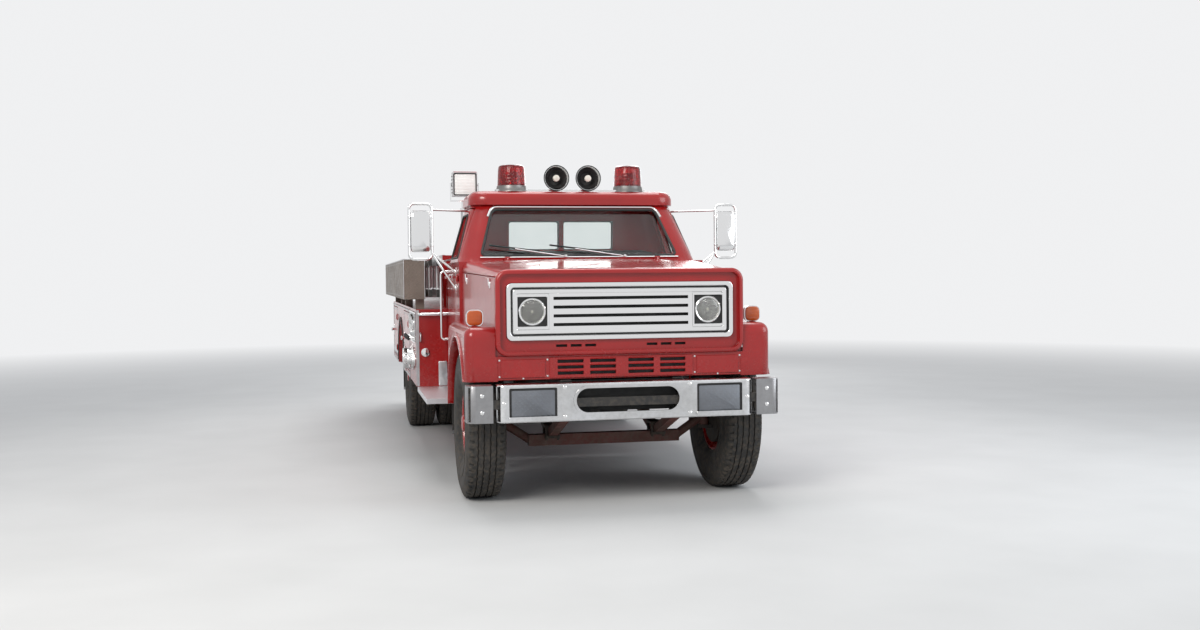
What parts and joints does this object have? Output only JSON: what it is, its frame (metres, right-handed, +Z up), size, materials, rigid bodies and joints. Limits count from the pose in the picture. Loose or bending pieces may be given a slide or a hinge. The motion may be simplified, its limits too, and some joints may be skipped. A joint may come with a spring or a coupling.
{
  "type": "fire engine",
  "caption": "Conventional-cab pumper fire engine with midship pump house, hose body with lockers, ladders, roof beacons and a telescoping floodlight.",
  "frame": {"origin": "centre of the bounding box on the ground plane", "axes": "+Z up, the truck faces -Y, the driver sits at +X"},
  "size_m": [2.698, 7.36, 2.484],
  "materials": {
    "red_paint": "gloss",
    "black_frame": "satin",
    "chrome": "polished",
    "steel": "satin",
    "tread_plate": "satin",
    "iron": "rough",
    "tyre": "matte",
    "glass": "clear",
    "red_glass": "clear",
    "lamp_glass": "clear",
    "dark_plastic": "satin",
    "seat_vinyl": "satin",
    "rubber": "matte",
    "silver_paint": "satin"
  },
  "bodies": {
    "truck": {"frame_rails": "black_frame", "fuel_tank": "black_frame", "silencer": "iron", "front_bumper": "chrome", "front_axle": "iron", "rear_axle": "iron", "engine_block": "iron", "nose_panel": "red_paint", "front_valance": "red_paint", "fender_left": "red_paint", "fender_right": "red_paint", "grille": "chrome", "lamps": "lamp_glass", "cab_shell": "red_paint", "cab_glass": "glass", "dashboard": "dark_plastic", "bench_seat": "seat_vinyl", "roof_bar": "chrome", "beacons": "red_glass", "running_boards": "tread_plate", "tailboard": "tread_plate", "pump_house": "red_paint", "pump_fittings": "chrome", "hose_body": "red_paint", "locker_pod_left": "red_paint", "locker_pod_right": "red_paint", "ladders": "tread_plate", "suction_hose": "rubber", "side_trough": "tread_plate", "mast_outer": "steel"},
    "knuckle_left": {"steering_knuckle_left": "iron"},
    "knuckle_right": {"steering_knuckle_right": "iron"},
    "wheel_front_left": {"front_wheel_left": "tyre"},
    "wheel_front_right": {"front_wheel_right": "tyre"},
    "wheel_rear_left": {"rear_wheels_left": "tyre"},
    "wheel_rear_right": {"rear_wheels_right": "tyre"},
    "hood_lid": {"hood": "red_paint"},
    "cab_door_left": {"door_left": "red_paint", "door_glass_left": "glass", "mirror_left": "chrome"},
    "cab_door_right": {"door_right": "red_paint", "door_glass_right": "glass", "mirror_right": "chrome"},
    "locker_front_left": {"front_locker_door_left": "red_paint"},
    "locker_front_right": {"front_locker_door_right": "red_paint"},
    "locker_rear_left": {"rear_locker_door_left": "red_paint"},
    "locker_rear_right": {"rear_locker_door_right": "red_paint"},
    "mast": {"mast_inner": "chrome"},
    "lamp_head": {"floodlight": "silver_paint"}
  },
  "joints": [
    {"name": "steer_left", "type": "hinge", "parent": "truck", "child": "knuckle_left", "pos_m": [0.76, -2.88, 0.5275], "axis": [0, 0, 1], "range_deg": [-28, 28]},
    {"name": "steer_right", "type": "hinge", "parent": "truck", "child": "knuckle_right", "pos_m": [-0.76, -2.88, 0.5275], "axis": [0, 0, 1], "range_deg": [-28, 28]},
    {"name": "spin_front_left", "type": "hinge", "parent": "knuckle_left", "child": "wheel_front_left", "pos_m": [0.915, -2.88, 0.5275], "axis": [1, 0, 0], "continuous": true},
    {"name": "spin_front_right", "type": "hinge", "parent": "knuckle_right", "child": "wheel_front_right", "pos_m": [-0.915, -2.88, 0.5275], "axis": [1, 0, 0], "continuous": true},
    {"name": "spin_rear_left", "type": "hinge", "parent": "truck", "child": "wheel_rear_left", "pos_m": [0.9, 1.57, 0.5275], "axis": [1, 0, 0], "continuous": true},
    {"name": "spin_rear_right", "type": "hinge", "parent": "truck", "child": "wheel_rear_right", "pos_m": [-0.9, 1.57, 0.5275], "axis": [1, 0, 0], "continuous": true},
    {"name": "hood_lift", "type": "hinge", "parent": "truck", "child": "hood_lid", "pos_m": [0, -2.184, 1.716], "axis": [-1, 0, 0], "range_deg": [0, 48]},
    {"name": "door_left", "type": "hinge", "parent": "truck", "child": "cab_door_left", "pos_m": [0.985, -2.109, 1.28], "axis": [0, 0, -1], "range_deg": [0, 65]},
    {"name": "door_right", "type": "hinge", "parent": "truck", "child": "cab_door_right", "pos_m": [-0.985, -2.109, 1.28], "axis": [0, 0, 1], "range_deg": [0, 65]},
    {"name": "locker_front_left", "type": "hinge", "parent": "truck", "child": "locker_front_left", "pos_m": [1.25, -0.071, 0.97], "axis": [0, 0, -1], "range_deg": [0, 110]},
    {"name": "locker_front_right", "type": "hinge", "parent": "truck", "child": "locker_front_right", "pos_m": [-1.25, -0.071, 0.97], "axis": [0, 0, 1], "range_deg": [0, 110]},
    {"name": "locker_rear_left", "type": "hinge", "parent": "truck", "child": "locker_rear_left", "pos_m": [1.25, 2.219, 0.97], "axis": [0, 0, -1], "range_deg": [0, 110]},
    {"name": "locker_rear_right", "type": "hinge", "parent": "truck", "child": "locker_rear_right", "pos_m": [-1.25, 2.219, 0.97], "axis": [0, 0, 1], "range_deg": [0, 110]},
    {"name": "mast_slide", "type": "slide", "parent": "truck", "child": "mast", "axis": [0, 0, 1], "range_m": [0, 0.6]},
    {"name": "lamp_tilt", "type": "hinge", "parent": "mast", "child": "lamp_head", "pos_m": [-0.806, -1, 2.368], "axis": [1, 0, 0], "range_deg": [-50, 50]}
  ],
  "couplings": [
    {"joint": "steer_right", "follows": "steer_left", "ratio": 1}
  ]
}
